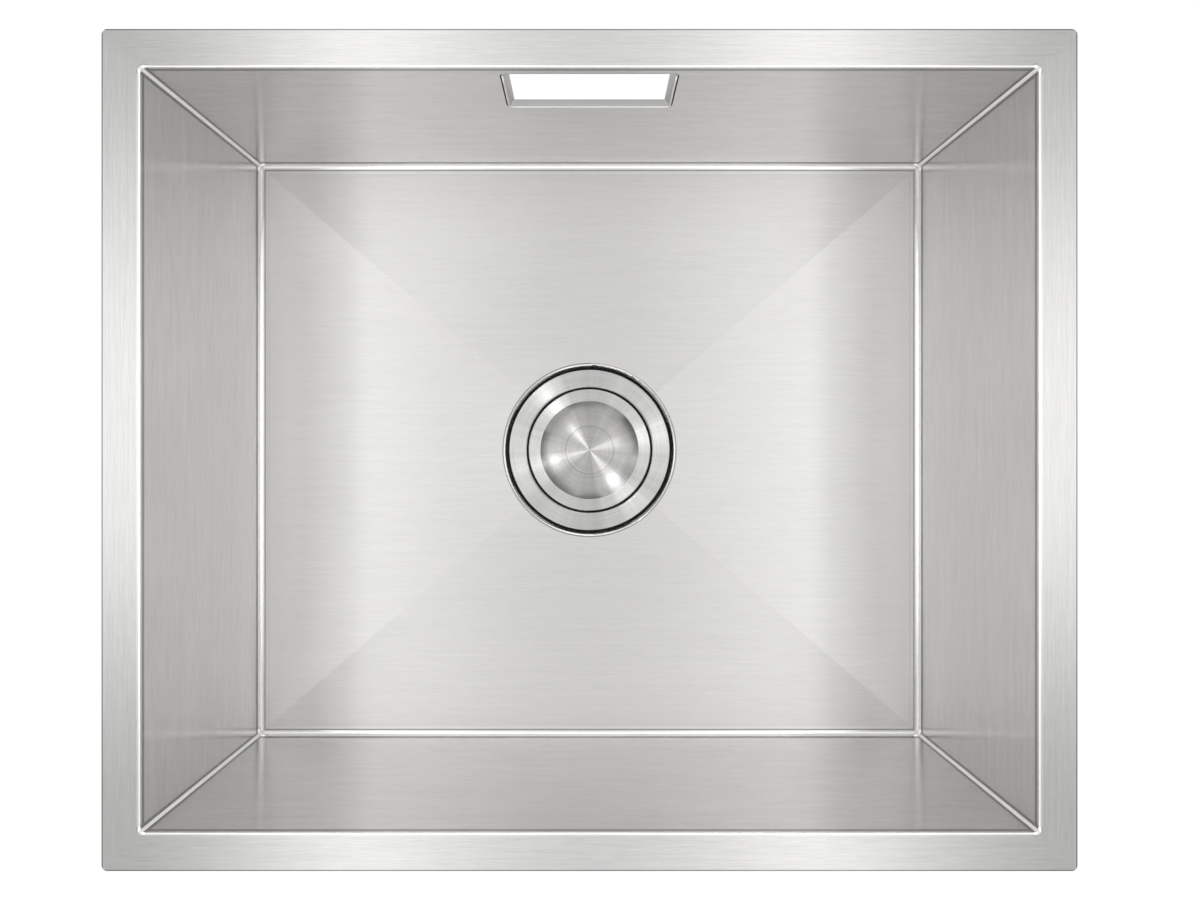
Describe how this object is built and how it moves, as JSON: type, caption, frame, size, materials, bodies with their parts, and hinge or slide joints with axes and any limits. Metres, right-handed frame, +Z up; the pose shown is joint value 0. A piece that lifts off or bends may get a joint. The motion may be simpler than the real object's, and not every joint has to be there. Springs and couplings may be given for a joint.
{
  "type": "undermount kitchen sink",
  "caption": "Rectangular undermount kitchen sink: folded steel bowl with a flat flange, a see-through overflow slot and a basket strainer waste with a press-open lid.",
  "frame": {"origin": "middle of the bowl's mouth, in the plane of the flange's top face, where it meets the worktop", "axes": "+Z up, out of the bowl; +Y towards the back wall with the overflow slot; +X along the length of the flange"},
  "size_m": [0.51, 0.44, 0.3046],
  "materials": {
    "bowl_steel": "satin, brushed along each panel's length",
    "turned_steel": "turned, with fine circular lines",
    "pressed_steel": "satin",
    "bright_steel": "bright",
    "brass": "machined",
    "pad_rubber": "matt, bitumen rubber",
    "seal_rubber": "matt, soft rubber",
    "waste_plastic": "moulded polypropylene",
    "core_plastic": "moulded acetal"
  },
  "bodies": {
    "sink": {"bowl": "bowl_steel", "overflow_frame": "pressed_steel", "overflow_studs": "bright_steel", "pad_left_wall": "pad_rubber", "pad_right_wall": "pad_rubber", "pad_front_wall": "pad_rubber", "pad_back_wall": "pad_rubber", "pad_left_floor": "pad_rubber", "pad_right_floor": "pad_rubber", "pad_front_floor": "pad_rubber", "pad_back_floor": "pad_rubber", "strainer_cup": "turned_steel", "upper_seal": "seal_rubber", "lower_seal": "seal_rubber", "waste_body": "waste_plastic", "outlet_tail": "waste_plastic", "hub_insert": "brass", "screw_washer": "bright_steel", "centre_screw": "bright_steel", "inlet_cap": "waste_plastic", "inlet_blank": "seal_rubber"},
    "basket": {"filter_basket": "pressed_steel", "basket_seal": "seal_rubber", "core_housing": "core_plastic", "core_nut": "core_plastic", "core_spring": "bright_steel"},
    "lid": {"core_plunger": "brass", "index_rotor": "core_plastic", "lid_plate": "turned_steel", "lid_disc": "turned_steel", "lid_stud": "bright_steel", "seal_retainer": "core_plastic", "lid_seal": "seal_rubber"}
  },
  "joints": [
    {"name": "basket_lift", "type": "slide", "parent": "sink", "child": "basket", "axis": [0, 0, 1], "range_m": [0, 0.26]},
    {"name": "lid_press", "type": "slide", "parent": "basket", "child": "lid", "axis": [0, 0, 1], "range_m": [0, 0.009], "deforming": ["core_spring"]}
  ]
}
